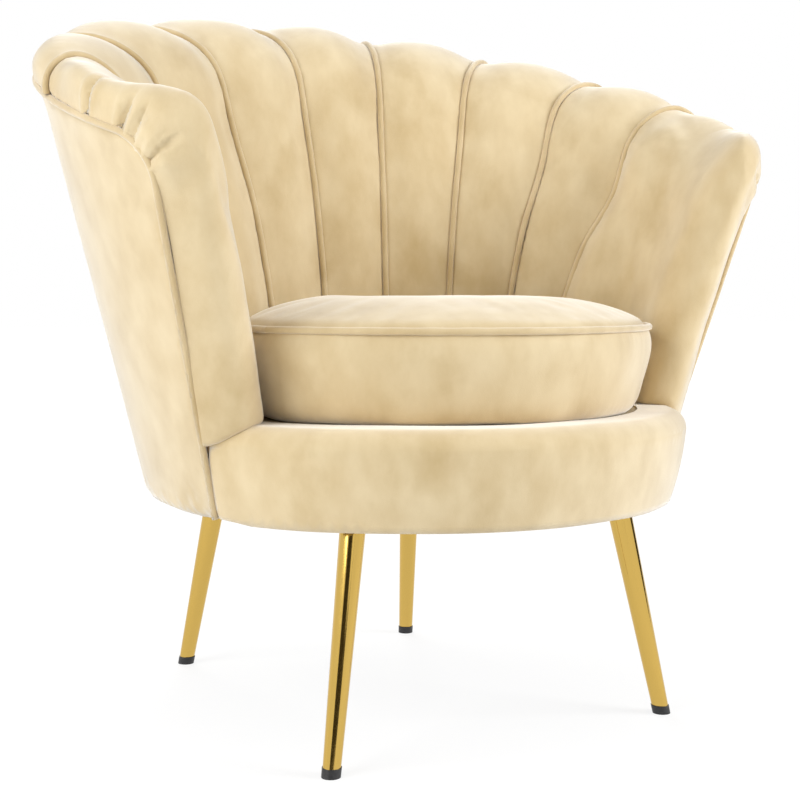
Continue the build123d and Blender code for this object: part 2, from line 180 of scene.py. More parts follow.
def velvet_finish(name, deep, pale):
    """Short-pile velvet: brushed patches in its colour, a fine grain, and a sheen along the surface."""
    material, tree, shader = new_finish(name)
    slow = add_noise(tree, scale=4.0, detail=3.0)
    brushed = add_noise(tree, scale=34.0, detail=9.0, stretch=(1.0, 1.0, 0.6))
    slow_part = add_math(tree, "MULTIPLY", slow, 1 - BRUSHED_SHARE)
    patch = add_math(tree, "MULTIPLY_ADD", brushed, BRUSHED_SHARE, slow_part)
    colour = add_ramp(tree, patch, deep, pale, start=0.34, stop=0.66)
    blots = add_noise(tree, scale=17.0, detail=9.0, stretch=(1.0, 1.0, 0.8))
    marks = add_ramp(tree, blots, UNMARKED, MARK_TINT, start=0.52, stop=0.70)
    marked = tree.nodes.new("ShaderNodeMix")
    marked.data_type = "RGBA"
    marked.blend_type = "MULTIPLY"
    marked.inputs["Factor"].default_value = 1.0
    tree.links.new(colour, marked.inputs["A"])
    tree.links.new(marks, marked.inputs["B"])
    tree.links.new(marked.outputs["Result"], shader.inputs["Base Color"])
    set_inputs(shader, {
        "Roughness": 0.85,
        "Specular IOR Level": 0.15,
        "Sheen Weight": 1.0,
        "Sheen Roughness": 0.5,
        "Sheen Tint": (1.0, 0.99, 0.97, 1),
    })
    add_bump(tree, shader, add_noise(tree, scale=900.0, detail=2.0), strength=0.25, distance=0.0006)
    return material


velvet = velvet_finish("velvet", deep=(0.61, 0.47, 0.255), pale=(0.74, 0.61, 0.385))
# The piping is the same velvet made a little darker all over. This is painted shade, standing in for
# the shade along the seams where the cords lie.
piping = velvet_finish("piping", deep=(0.56, 0.42, 0.215), pale=(0.69, 0.55, 0.33))
print("velvet finishes:", velvet.name, piping.name)

# %% [markdown]
# ### Gold
# The legs are polished gold metal, which is all reflection, so its colour comes from what stands around
# it. One roughness for the whole leg would look like a perfect mirror, so a faint noise varies it.


# %% Gold
def gold_finish():
    """Polished metal with a slightly uneven polish."""
    material, tree, shader = new_finish("gold_metal")
    set_inputs(shader, {"Base Color": (0.63, 0.42, 0.105, 1), "Metallic": 1.0})
    rough = tree.nodes.new("ShaderNodeMapRange")
    set_inputs(rough, {"To Min": 0.07, "To Max": 0.16})
    tree.links.new(add_noise(tree, scale=60.0, detail=4.0), rough.inputs["Value"])
    tree.links.new(rough.outputs["Result"], shader.inputs["Roughness"])
    return material


finishes = {"velvet": velvet, "piping": piping, "gold_metal": gold_finish()}
print("finishes so far:", len(finishes))

# %% [markdown]
# ### Plastic and the hidden frame
# The foot caps are moulded black plastic, and the hidden frame is plywood, webbing, woven cloth, foam
# and zinc-plated steel. Little of it is seen, so one helper makes them all: two tones of one colour,
# with a relief from the same noise. Stretching the noise along one axis gives the plywood its layers.


# %% Plastic and the hidden frame
def plain_finish(name, dark, light, scale, rough, stretch=(1, 1, 1), metal=0.0):
    """A two-tone surface with a matching fine relief."""
    material, tree, shader = new_finish(name)
    grain = add_noise(tree, scale, detail=5.0, stretch=stretch)
    tree.links.new(add_ramp(tree, grain, dark, light), shader.inputs["Base Color"])
    set_inputs(shader, {"Roughness": rough, "Metallic": metal})
    add_bump(tree, shader, grain, strength=0.15, distance=0.0004)
    return material


# Name, dark tone, light tone, noise scale, roughness, and where needed the stretch and the metal share.
PLAIN_FINISHES = (
    ("black_plastic", (0.010, 0.010, 0.011), (0.022, 0.022, 0.023), 300.0, 0.45),
    ("plywood", (0.42, 0.27, 0.14), (0.58, 0.40, 0.23), 14.0, 0.7, (1, 1, 9)),
    ("webbing", (0.012, 0.012, 0.014), (0.03, 0.03, 0.033), 500.0, 0.85),
    ("deck_cloth", (0.36, 0.29, 0.18), (0.46, 0.38, 0.26), 700.0, 0.9),
    ("dust_cloth", (0.004, 0.004, 0.005), (0.012, 0.012, 0.013), 600.0, 0.95),
    ("foam", (0.72, 0.66, 0.5), (0.8, 0.75, 0.6), 400.0, 0.95),
    ("zinc_steel", (0.42, 0.42, 0.43), (0.55, 0.55, 0.56), 200.0, 0.35, (1, 1, 1), 1.0),
)
for name, *values in PLAIN_FINISHES:
    finishes[name] = plain_finish(name, *values)
for part in frame["record"]["subparts"]:
    solid = frame["nodes"][part["node"]]
    solid.data.materials.clear()
    solid.data.materials.append(finishes[part["material_slot"]])
print("finishes:", len(finishes))

# %% [markdown]
# ## Studio
# ### Floor
# The chair stands on a pale floor with no edge in sight. A plain lit floor would turn grey away from
# the lamps, so what the camera, mirrors and glass see of it is mixed with white. The Light Path node
# tells these rays from the rest. Near the chair a share of the shadow stays, so that the chair stands
# on the floor.

# %% Floor
FLOOR_SIZE = 30
FLOOR_WHITE = 1.06
SHADOW_NEAR = 0.5
SHADOW_FAR = 2.0
WHITE_NEAR = 0.76


def far_share(tree):
    """A share that grows with the distance from the chair, up to all white."""
    coords = tree.nodes.new("ShaderNodeTexCoord")
    distance = tree.nodes.new("ShaderNodeVectorMath")
    distance.operation = "LENGTH"
    share = tree.nodes.new("ShaderNodeMapRange")
    set_inputs(share, {"From Min": SHADOW_NEAR, "From Max": SHADOW_FAR, "To Min": WHITE_NEAR})
    tree.links.new(coords.outputs["Object"], distance.inputs[0])
    tree.links.new(distance.outputs["Value"], share.inputs["Value"])
    return share.outputs["Result"]


def white_to_camera(tree, lit, level, share=1.0):
    """Mix plain white into what the camera, mirrors and glass see."""
    path = tree.nodes.new("ShaderNodeLightPath")
    seen = add_math(tree, "MAXIMUM", path.outputs["Is Camera Ray"], path.outputs["Is Glossy Ray"])
    seen = add_math(tree, "MAXIMUM", seen, path.outputs["Is Transmission Ray"])
    white = tree.nodes.new("ShaderNodeEmission")
    white.inputs["Strength"].default_value = level
    mix = tree.nodes.new("ShaderNodeMixShader")
    tree.links.new(add_math(tree, "MULTIPLY", seen, share), mix.inputs["Fac"])
    tree.links.new(lit, mix.inputs[1])
    tree.links.new(white.outputs[0], mix.inputs[2])
    return mix.outputs[0]


def add_plane(name, size, finish):
    """A flat square of the studio with its finish."""
    bpy.ops.mesh.primitive_plane_add(size=size, location=(0, 0, 0))
    plane = bpy.context.object
    plane.name = name
    plane.data.materials.append(finish)
    return plane


floor_finish, floor_tree, floor_shader = new_finish("floor_finish")
set_inputs(floor_shader, {"Base Color": (0.86, 0.86, 0.86, 1), "Roughness": 0.8})
floor_white = white_to_camera(floor_tree, floor_shader.outputs[0], FLOOR_WHITE, far_share(floor_tree))
floor_tree.links.new(floor_white, floor_tree.nodes["Material Output"].inputs["Surface"])
floor = add_plane("floor", FLOOR_SIZE, floor_finish)
print("floor", FLOOR_SIZE, "m square")

# %% [markdown]
# ### Surround
# The background is white, like the paper behind a chair in a studio. A world that shone so brightly
# from all sides would wash the shadows out, so it lights the chair weakly and shows its white only to
# the camera.

# %% Surround
SURROUND_LIGHT = 0.38
SURROUND_WHITE = 1.0
world = bpy.data.worlds.new("studio")
scene.world = world
world.use_nodes = True
world_tree = world.node_tree
dim = world_tree.nodes["Background"]
set_inputs(dim, {"Color": (1, 1, 1, 1), "Strength": SURROUND_LIGHT})
world_white = white_to_camera(world_tree, dim.outputs[0], SURROUND_WHITE)
world_tree.links.new(world_white, world_tree.nodes["World Output"].inputs["Surface"])
print("surround strength", SURROUND_LIGHT)

# %% [markdown]
# ### Lamps
# Large soft lamps light the chair, as softboxes do in a studio: two strong ones at the sides, one
# behind, and weak ones above and in front. An area lamp shines along its own minus Z, so it is tipped
# and turned to its aim.


# %% Lamps
def soft_lamp(name, place, target_z, size, power):
    """An area lamp aimed at a height on the chair's axis."""
    lamp = bpy.data.lights.new(name, "AREA")
    lamp.shape = "RECTANGLE"
    lamp.size, lamp.size_y = size
    lamp.energy = power
    stand = bpy.data.objects.new(name, lamp)
    scene.collection.objects.link(stand)
    stand.location = place
    aim = np.array((0, 0, target_z)) - np.array(place)
    flat = math.hypot(aim[0], aim[1])
    stand.rotation_euler = (math.atan2(flat, -aim[2]), 0, math.atan2(-aim[0], aim[1]))


# Name, place, height of the aim, width and length, and watts.
LAMPS = (
    ("lamp_left", (-2.3, -0.3, 1.5), 0.45, (1.6, 1.8), 45.0),
    ("lamp_right", (1.9, -1.7, 1.5), 0.4, (1.4, 1.6), 60.0),
    ("lamp_top", (0.0, 0.9, 2.6), 0.4, (1.6, 1.2), 5.0),
    ("lamp_front", (-0.9, -2.4, 0.9), 0.35, (1.2, 1.0), 4.0),
    ("lamp_back", (0.6, 2.6, 1.3), 0.4, (1.8, 1.4), 34.0),
)
for lamp_values in LAMPS:
    soft_lamp(*lamp_values)
print("lamps:", len(LAMPS))

# %% [markdown]
# ### Flags
# Polished metal in an all-white room looks flat. A photographer hangs black cloths, called flags, where
# the metal mirrors them. These ones are seen by mirrors only, so they throw no shadow and take away no
# light.

# %% Flags
FLAGS = (("flag_camera", VIEW_AZIMUTH, 2.4), ("flag_right", math.radians(80), 1.6))
FLAG_TALL = 2.6
FLAG_AWAY = 2.6
FLAG_MIDDLE_Z = 0.9
flag_cloth = plain_finish("flag_cloth", (0.02, 0.017, 0.012), (0.04, 0.033, 0.022), 50.0, 1.0)
for name, turn, wide in FLAGS:
    flag = add_plane(name, 1, flag_cloth)
    flag.scale = (wide, FLAG_TALL, 1)
    flag.rotation_euler = (math.radians(90), 0, turn)
    flag.location = (math.sin(turn) * FLAG_AWAY, -math.cos(turn) * FLAG_AWAY, FLAG_MIDDLE_Z)
    flag.visible_camera = False
    flag.visible_diffuse = False
    flag.visible_shadow = False
print("flags:", len(FLAGS))

# %% [markdown]
# ## Soft pieces
# Upholstery is a cover stretched over foam: it swells between its seams and is drawn in at them. It
# could be sculpted by hand, but the solid of each padded piece already has the drawn-in outline. So a
# copy of it is turned into an even net of small squares (Voxel Remesh) and blown up a little as cloth.
# ### Copies and modifiers
# The mesh of a solid has loose triangles. A copy is joined first, because cloth would tear along loose
# edges.

# %% Copies and modifiers
JOIN_DISTANCE = 0.00005


def only(piece):
    """Make one piece the selected and active one."""
    bpy.ops.object.select_all(action="DESELECT")
    piece.select_set(True)
    bpy.context.view_layer.objects.active = piece


def edit_all(piece, action, **values):
    """Run one edit mode tool on the whole mesh of a piece."""
    only(piece)
    bpy.ops.object.mode_set(mode="EDIT")
    bpy.ops.mesh.select_all(action="SELECT")
    action(**values)
    bpy.ops.object.mode_set(mode="OBJECT")


def merged_copy(node, name):
    """A copy of a solid's mesh, with its loose triangles joined."""
    piece = bpy.data.objects.new(name, frame["nodes"][node].data.copy())
    scene.collection.objects.link(piece)
    edit_all(piece, bpy.ops.mesh.remove_doubles, threshold=JOIN_DISTANCE)
    return piece


def apply_modifier(piece, kind, **values):
    """Add a modifier, set it and apply it."""
    only(piece)
    modifier = piece.modifiers.new(kind.lower(), kind)
    for key, value in values.items():
        setattr(modifier, key, value)
    bpy.ops.object.modifier_apply(modifier=modifier.name)


# %% [markdown]
# ### Points and weights
# Moving a hundred thousand points one by one is slow in Python, so they are read into one array of
# rows, moved together, and written back. A fade from 0 to 1 says how strongly a change acts at each
# point.


# %% Points and weights
def get_points(piece, field="co"):
    """The places of a mesh's points, or another field of three numbers, as rows."""
    values = np.empty(len(piece.data.vertices) * 3)
    piece.data.vertices.foreach_get(field, values)
    return values.reshape(-1, 3)


def get_normals(piece):
    """The direction that a mesh faces at each of its points."""
    return get_points(piece, "normal")


def set_points(piece, points):
    """Move the points of a mesh to new places."""
    piece.data.vertices.foreach_set("co", np.ascontiguousarray(points).ravel())
    piece.data.update()


def fade(value, start, stop):
    """Smooth step from 0 at start to 1 at stop."""
    share = np.clip((value - start) / (stop - start), 0, 1)
    return share * share * (3 - 2 * share)


def add_weights(piece, name, weights):
    """A vertex group with a weight for each point."""
    group = piece.vertex_groups.new(name=name)
    for index, weight in enumerate(weights):
        group.add([index], float(weight), "REPLACE")


print("a fade a quarter of the way:", float(fade(0.25, 0, 1)))

# %% [markdown]
# ### Swelling
# Foam presses a cover outwards until the seams stop it. Cloth with air pressure inside does the same:
# the points at the seams are pinned and the rest is blown up for some frames. The movement is then
# limited, because the foam only lets the cover move a few millimetres.

# %% Swelling
PUFF_FRAMES = 20
PUFF_PRESSURE = 4.0
CLOTH_QUALITY = 4
NO_MOVE = 1e-9


def puff(piece, hold, limit):
    """Blow the cover up as cloth with its seams held, and limit how far it moves."""
    before = get_points(piece)
    add_weights(piece, "held", hold)
    only(piece)
    cloth = piece.modifiers.new("cloth", "CLOTH")
    cloth.settings.quality = CLOTH_QUALITY
    cloth.settings.use_pressure = True
    cloth.settings.uniform_pressure_force = PUFF_PRESSURE
    cloth.settings.effector_weights.gravity = 0
    cloth.settings.vertex_group_mass = "held"
    cloth.point_cache.frame_end = PUFF_FRAMES
    for step in range(1, PUFF_FRAMES + 1):
        scene.frame_set(step)
    bpy.ops.object.modifier_apply(modifier="cloth")
    scene.frame_set(1)
    move = get_points(piece) - before
    length = np.linalg.norm(move, axis=1, keepdims=True)
    reach = np.broadcast_to(limit, (len(before),))[:, None]
    set_points(piece, before + move * np.minimum(1, reach / np.maximum(length, NO_MOVE)))
    piece.vertex_groups.clear()
    print(piece.name, "swelled at most", round(1000 * float(np.minimum(length, reach).max()), 1), "mm")


# %% [markdown]
# ### Evening out, ripples and dressing
# Hands smooth a cover while it is sewn on, and a Smooth modifier evens out a net in the same way. A
# cover is never quite even, so slow waves are added last. They are a sum of sines, which needs no
# chance and is the same in every run. Dressing gives a piece its finish, hangs it under its body and
# hides the solids that it stands for.

# %% Evening out, ripples and dressing
SMOOTH_FACTOR = 0.5
# Direction of each wave, and its start.
RIPPLE_WAVES = (
    ((1.0, 0.3, 0.7), 0.0),
    ((-0.4, 1.1, 0.5), 1.7),
    ((0.6, -0.8, 1.2), 3.1),
    ((1.3, 0.9, -0.6), 4.4),
)


def relax(piece, free, rounds):
    """Even out the cover where it is free."""
    add_weights(piece, "free", np.broadcast_to(free, (len(piece.data.vertices),)))
    apply_modifier(piece, "SMOOTH", factor=SMOOTH_FACTOR, iterations=rounds, vertex_group="free")
    piece.vertex_groups.clear()


def ripple(points, size, length):
    """The slow waves of a cover that is never quite even: a sum of sines in fixed directions."""
    turns = math.tau / length
    total = sum(np.sin(points @ np.array(way) * turns + start) for way, start in RIPPLE_WAVES)
    return size * total / len(RIPPLE_WAVES)


def dress(piece, body, slot, *nodes):
    """Give a soft piece its finish, hang it under its body, and hide the solids that it stands for."""
    piece.data.materials.clear()
    piece.data.materials.append(finishes[slot])
    only(piece)
    bpy.ops.object.shade_smooth()
    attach(piece, body)
    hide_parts(*nodes)


# %% [markdown]
# ### The seams of the shell
# Nine petals make the inside of the tub. Each seam lies in an upright plane from a point at the seat to
# a point on the rim. The seams could be looked for in the meshes, but the planes follow from the same
# ovals as the solids, so they are worked out again here. The petals are held along them.

# %% Seam planes
PETAL_STEP = 23.4
SEAT_OVAL = (0.262, 0.178)
CREST_OVAL = (0.388, 0.294)
TUB_Y = -0.060
SEAT_TWIST = 0.8


def oval_point(oval, degrees):
    """A point of an oval of the tub, its angle counted from the middle of the back."""
    turn = math.radians(degrees)
    return np.array([oval[0] * math.sin(turn), TUB_Y + oval[1] * math.cos(turn) + DRUM_Y])


def seam_plane(number):
    """A point of the seam plane and its level normal, pointing to larger angles."""
    degrees = (abs(number) - 0.5) * PETAL_STEP * (1 if number > 0 else -1)
    seat, crest = oval_point(SEAT_OVAL, SEAT_TWIST * degrees), oval_point(CREST_OVAL, degrees)
    along = (crest - seat) / np.linalg.norm(crest - seat)
    return seat, np.array([along[1], -along[0]])


print("first seam starts at", np.round(seam_plane(1)[0], 3))

# %% [markdown]
# ### The rim cord's path
# The outer rim cord follows the sloping rim, bends round the arm's corner and runs down the arm's front
# edge. The cover is gathered along it, so its path is needed as a line of points. The corner is rounded
# by cutting it off again and again, and the line is then divided into even steps.

# %% The rim cord's path
OUTER_LOW_Z = 0.232
OUTER_RISE = 0.528
OUTER_LOW_R = 0.284
OUTER_GROW = (0.156, 0.061)
OUTER_MOVE = (0.010, 0.050)
RIM_Z = 0.674
RIM_SLOPE = 0.352
RIM_SEAT = 0.030
RIM_FIRST_Z = 0.6
RIM_ROUNDS = 6
CORD_OUT = 0.0038
ARM_EDGE_LOW = 108.5
ARM_EDGE_TURN = 3.5
ARM_EDGE_RISE = 0.368
PATH_STEP = 0.002
PATH_ROUNDS = 3
RIM_ANGLES = range(80, 106, 3)
EDGE_HEIGHTS = np.arange(0.566, OUTER_LOW_Z, -0.03)
CORNER_ANGLE = 107
CORNER_DOWN_STEPS = 15


def outer_point(degrees, z, out=0.0):
    """A point of the shell's outside, its angle counted from the middle of the back."""
    share = (z - OUTER_LOW_Z) / OUTER_RISE
    turn = math.radians(degrees)
    wide = OUTER_LOW_R + OUTER_GROW[0] * share + out
    deep = OUTER_LOW_R + OUTER_GROW[1] * share + out
    middle = DRUM_Y - OUTER_MOVE[0] - OUTER_MOVE[1] * share
    return np.array([wide * math.sin(turn), middle + deep * math.cos(turn), z])


def rim_height(y):
    """Height of the sloping rim's seat at a place between front and back."""
    return RIM_Z + RIM_SLOPE * (y - DRUM_Y) - RIM_SEAT


def rim_point(degrees):
    """The rim cord over the outside, at the height of the sloping rim."""
    z = RIM_FIRST_Z
    for _ in range(RIM_ROUNDS):
        z = rim_height(outer_point(degrees, z)[1]) - CORD_OUT
    return outer_point(degrees, z, CORD_OUT)


def arm_edge_point(z):
    """The rim cord down the arm's front edge."""
    return outer_point(ARM_EDGE_LOW + ARM_EDGE_TURN * (z - OUTER_LOW_Z) / ARM_EDGE_RISE, z, CORD_OUT)


def smooth_path(corners):
    """A rounded line through corner points, cut into even steps."""
    corners = np.array(corners)
    for _ in range(PATH_ROUNDS):
        quarter = corners[:-1] * 0.75 + corners[1:] * 0.25
        rest = corners[:-1] * 0.25 + corners[1:] * 0.75
        middle = np.stack([quarter, rest], 1).reshape(-1, 3)
        corners = np.concatenate([corners[:1], middle, corners[-1:]])
    lengths = np.concatenate([[0], np.cumsum(np.linalg.norm(np.diff(corners, axis=0), axis=1))])
    even = np.arange(0, lengths[-1], PATH_STEP)
    return np.stack([np.interp(even, lengths, corners[:, i]) for i in range(3)], 1)


rim_part = [rim_point(degrees) for degrees in RIM_ANGLES]
edge_part = [arm_edge_point(z) for z in EDGE_HEIGHTS]
rim_path = smooth_path(rim_part + edge_part)
corner_step = int(np.argmin(np.linalg.norm(rim_path - rim_point(CORNER_ANGLE), axis=1)))
arm_corner = rim_path[corner_step + CORNER_DOWN_STEPS]
print("rim cord corner at", np.round(arm_corner, 3))

# %% [markdown]
# ### Cords
# Piping is a cord wrapped in a strip of the same velvet, sewn into each seam. Curves with a round bevel
# could make it, but round tubes along the seams are already in the solids. A finer net and a very small
# unevenness take away their machined look.

# %% Piping
CUT_ROUNDS = 8
CORD_EDGE = 0.010
CORDS = (("channel_welts", "chair"), ("rim_welt", "chair"), ("cushion_welt", "seat_cushion"))


def fine_copy(node, name, longest):
    """A joined copy of a solid, its long edges halved again and again down to a given length."""
    piece = merged_copy(node, name)
    mesh = bmesh.new()
    mesh.from_mesh(piece.data)
    for _ in range(CUT_ROUNDS):
        long_edges = [edge for edge in mesh.edges if edge.calc_length() > longest]
        if not long_edges:
            break
        bmesh.ops.subdivide_edges(mesh, edges=long_edges, cuts=1)
        bmesh.ops.triangulate(mesh, faces=[face for face in mesh.faces if len(face.verts) > 3])
    mesh.to_mesh(piece.data)
    mesh.free()
    return piece


cord_points = []
for node, body in CORDS:
    cord = fine_copy(node, node + "_cord", CORD_EDGE)
    points = get_points(cord)
    if body == "chair":
        cord_points.append(points)
    set_points(cord, points + get_normals(cord) * ripple(points, size=0.0002, length=0.03)[:, None])
    dress(cord, body, "piping", node)
    print(cord.name, "points", len(cord.data.vertices))

# %% [markdown]
# ### Covers drawn up to the cords
# A cover is sewn to its cord, so no gap shows between them. The points of the cords go into a search
# tree, which finds the nearest one to any place quickly. A cover's edge is pulled to it, and the pull
# fades out within a short reach.

# %% Covers drawn up to the cords
# Shares of the reach: where the pull fades out, and where the evening out begins and ends.
PULL_FADE = (0.45, 1.0)
EVEN_IN = (0.2, 0.5)
EVEN_OUT = (1.2, 2.0)
SNUG_ROUNDS = 4

seam_cords = KDTree(sum(len(points) for points in cord_points))
for index, spot in enumerate(np.concatenate(cord_points)):
    seam_cords.insert(spot, index)
seam_cords.balance()


def snug(piece, reach):
    """Draw the edges of a cover up to the cords beside it, within a reach, so that no gap shows."""
    points = get_points(piece)
    found = [seam_cords.find(point) for point in points]
    nearest = np.array([spot for spot, _, _ in found])
    gap = np.array([distance for _, _, distance in found]) / reach
    pull = 1 - fade(gap, *PULL_FADE)
    set_points(piece, points + (nearest - points) * pull[:, None])
    relax(piece, fade(gap, *EVEN_IN) * (1 - fade(gap, *EVEN_OUT)), SNUG_ROUNDS)


print("cord points to draw covers to:", sum(len(points) for points in cord_points))

# %% [markdown]
# ### Pleats
# The arm petals carry deep gathers round the front corner, where the cover has more cloth than room. A
# pleat is a narrow valley that starts at the cord and dies out over the top of the arm. Cloth
# simulation makes pleats anywhere it likes, so these are sunk at chosen places along the cord, with a
# soft ridge each side.

# %% Pleats
# Place along the cord from the corner, and depth.
PLEATS = ((-0.050, 0.0046), (-0.006, 0.0046), (0.010, 0.0046), (0.034, 0.0040))
PLEAT_WIDTH = 0.0026
PLEAT_SPREAD = 0.04
PLEAT_SHARPNESS = 1.4
PLEAT_FADE = (0.024, 0.050)
RIDGE_SHARE = 0.25
RIDGE_OFFSET = 2.4
POINTS_AT_ONCE = 4000


def pleat(points, normals):
    """Sink narrow valleys that run in from the rim cord, with soft ridges between them."""
    steps = np.empty(len(points), int)
    reach = np.empty(len(points))
    for start in range(0, len(points), POINTS_AT_ONCE):
        some = slice(start, start + POINTS_AT_ONCE)
        gap = np.linalg.norm(points[some, None] - rim_path[None], axis=2)
        steps[some] = gap.argmin(1)
        reach[some] = gap.min(1)
    along = (steps - corner_step) * PATH_STEP
    depth = np.zeros(len(points))
    for place, deep in PLEATS:
        offset = np.abs(along - place) / (PLEAT_WIDTH + PLEAT_SPREAD * reach)
        ridge = RIDGE_SHARE * np.exp(-(offset - RIDGE_OFFSET) ** 2)
        depth += deep * (np.exp(-PLEAT_SHARPNESS * offset) - ridge)
    return points - normals * (depth * (1 - fade(reach, *PLEAT_FADE)))[:, None]


print("pleats on each arm:", len(PLEATS))

# %% [markdown]
# ### The arm's foot and corner
# At its foot the arm's cover is tucked over the drum. At its corner the cord bends sharply, and the net
# beside it folds. Such folds could be mended by hand, point by point. Swelling the cover, giving it a
# new net and drawing it back fuses them all at once, and a little extra fullness then rounds the
# corner.

# %% The arm's foot and corner
ARM_VOXEL = 0.004
FOLD_SWELL = 0.004
EVEN_ROUNDS = 4
FOOT_Z = 0.33
FOOT_TUCK = 0.018
FOOT_NEAR = (0.008, 0.062)
FOOT_LOW = (0.331, 0.42)
ARM_REACH = 0.024
CORNER_REACH = 0.022
CORNER_NEAR = (0.03, 0.07)
CORNER_FILL = 0.008
CORNER_FILL_IN = np.array([-0.013, 0.0075, 0.004])
CORNER_FULL = (0.012, 0.045)


def tuck_foot(points):
    """Draw the foot of an arm front down beside its cord, where the cover is tucked over the drum."""
    edge = arm_edge_point(FOOT_Z)
    near = 1 - fade(np.linalg.norm(points[:, :2] - edge[:2], axis=1), *FOOT_NEAR)
    low = 1 - fade(points[:, 2], *FOOT_LOW)
    moved = points.copy()
    moved[:, 2] -= FOOT_TUCK * near * low
    return moved


def close_folds(piece):
    """Fuse narrow folds: swell the cover, give it a new net, and draw it back."""
    set_points(piece, get_points(piece) + FOLD_SWELL * get_normals(piece))
    apply_modifier(piece, "REMESH", mode="VOXEL", voxel_size=ARM_VOXEL)
    relax(piece, 1, EVEN_ROUNDS)
    set_points(piece, get_points(piece) - FOLD_SWELL * get_normals(piece))
    relax(piece, 1, EVEN_ROUNDS)


def round_corner(piece):
    """Draw an arm's cover to its cord, fuse the folds and fill the corner out."""
    corner = np.linalg.norm(get_points(piece) - arm_corner, axis=1)
    snug(piece, ARM_REACH + CORNER_REACH * (1 - fade(corner, *CORNER_NEAR)))
    close_folds(piece)
    points = get_points(piece)
    full = 1 - fade(np.linalg.norm(points - arm_corner - CORNER_FILL_IN, axis=1), *CORNER_FULL)
    set_points(piece, points + get_normals(piece) * (CORNER_FILL * full)[:, None])


print("arm foot at", np.round(arm_edge_point(FOOT_Z), 3))

# %% [markdown]
# ### What holds a petal
# A petal is sewn at its seams, stapled along its hidden back, tucked in at the seat and sewn to the rim
# cord. It is free elsewhere. Weights could be painted by hand, but the seam planes and the way that the
# surface faces give the same answer for every petal.

# %% What holds a petal
SEAM_BAND = (0.003, 0.022)
BACK_FACING = (0.1, 0.5)
BACK_ABOVE_RIM = 0.004
FOOT_BAND = (0.329, 0.356)


def petal_hold(points, normals, low, high):
    """1 at the seams, the back, the foot and the rim cord, and 0 in the free middle of the petal."""
    hold = np.zeros(len(points))
    for number, side in ((low, 1), (high, -1)):
        if number is not None:
            seat, across = seam_plane(number)
            hold = np.maximum(hold, 1 - fade(side * ((points[:, :2] - seat) @ across), *SEAM_BAND))
    out = points[:, :2] - np.array([0, TUB_Y + DRUM_Y])
    out /= np.linalg.norm(out, axis=1, keepdims=True)
    back = np.sum(normals[:, :2] * out, axis=1)
    under = points[:, 2] < rim_height(points[:, 1]) + BACK_ABOVE_RIM
    hold = np.maximum(hold, fade(back, *BACK_FACING) * under)
    return np.maximum(hold, 1 - fade(points[:, 2], *FOOT_BAND))


# %% [markdown]
# ### Petals
# The chair is the same on both sides, so the five petals of one side are made and the other four are
# mirrored from them. Mirroring turns a mesh inside out, so its faces are flipped afterwards.

# %% Petals
PETAL_COUNT = 9
MIDDLE_PETAL = 5
PETAL_VOXEL = 0.005
PETAL_SWELL = 0.006
PETAL_REACH = 0.013
PETAL_FREE_ROUNDS = 8
PETAL_SETTLE_ROUNDS = 3
# Petal, and the seams at its low and its high side. The arm petal has no seam at its front.
PETAL_SEAMS = ((5, -1, 1), (6, 1, 2), (7, 2, 3), (8, 3, 4), (9, 4, None))


def soft_petal(number, low, high):
    """One padded petal: evened out, swelled, drawn up to its cords and rippled."""
    arm = number == PETAL_COUNT
    piece = merged_copy(f"petal_{number}", f"petal_cover_{number}")
    apply_modifier(piece, "REMESH", mode="VOXEL", voxel_size=ARM_VOXEL if arm else PETAL_VOXEL)
    relax(piece, 1, EVEN_ROUNDS)
    hold = petal_hold(get_points(piece), get_normals(piece), low, high)
    relax(piece, 1 - hold, PETAL_FREE_ROUNDS)
    puff(piece, hold, PETAL_SWELL)
    relax(piece, 1 - hold, PETAL_SETTLE_ROUNDS)
    if arm:
        round_corner(piece)
    snug(piece, PETAL_REACH)
    apply_modifier(piece, "SUBSURF", levels=1, render_levels=1)
    points, normals = get_points(piece), get_normals(piece)
    points = points + normals * ripple(points, size=0.0008, length=0.11)[:, None]
    if arm:
        points = tuck_foot(pleat(points, normals))
    set_points(piece, points)
    return piece


def mirrored(piece, name):
    """The same piece on the other side of the chair, turned right side out again."""
    twin = bpy.data.objects.new(name, piece.data.copy())
    scene.collection.objects.link(twin)
    set_points(twin, get_points(twin) * np.array([-1, 1, 1]))
    edit_all(twin, bpy.ops.mesh.flip_normals)
    return twin


for number, low, high in PETAL_SEAMS:
    petals = {number: soft_petal(number, low, high)}
    if number != MIDDLE_PETAL:
        other = PETAL_COUNT + 1 - number
        petals[other] = mirrored(petals[number], f"petal_cover_{other}")
    for owner, piece in petals.items():
        dress(piece, "chair", "velvet", f"petal_{owner}")
    print("petals", list(petals), "points", len(petals[number].data.vertices))

# %% [markdown]
# ### Outside cover and front band
# The outside of the tub is one smooth panel of velvet pulled tight over a curved board, and the drum's
# front is a padded band. They could be simulated as cloth too, but a tight cover hardly moves and both
# solids are already right. Copies of them only need a finer net and the slight unevenness of stretched
# cloth.

# %% Outside cover and front band
EDGE_ANGLE = math.radians(40)
COVER_EDGE = 0.014
COVER_LIFT = 0.0006
COVER_REACH = 0.018
COVER_CORNER_REACH = 0.030
COVER_CORNER_NEAR = (0.02, 0.05)
# Solid, name of the cloth, flat size, area, and the solid under it.
VELVET_COVERS = (
    ("outer_cover", "outer_cover_cloth", (1.50, 0.53), 0.600, "outer_panel"),
    ("front_band_cover", "front_band_cloth", (0.75, 0.15), 0.097, "front_band_foam"),
)


def stretch(piece, slot, node, flat, area, under):
    """Finish a stretched cloth: its slot and crisp edges. How it is cut and held is not used."""
    dress(piece, "chair", slot, node)
    bpy.ops.object.shade_smooth_by_angle(angle=EDGE_ANGLE)
    print(piece.name, "points", len(piece.data.vertices))


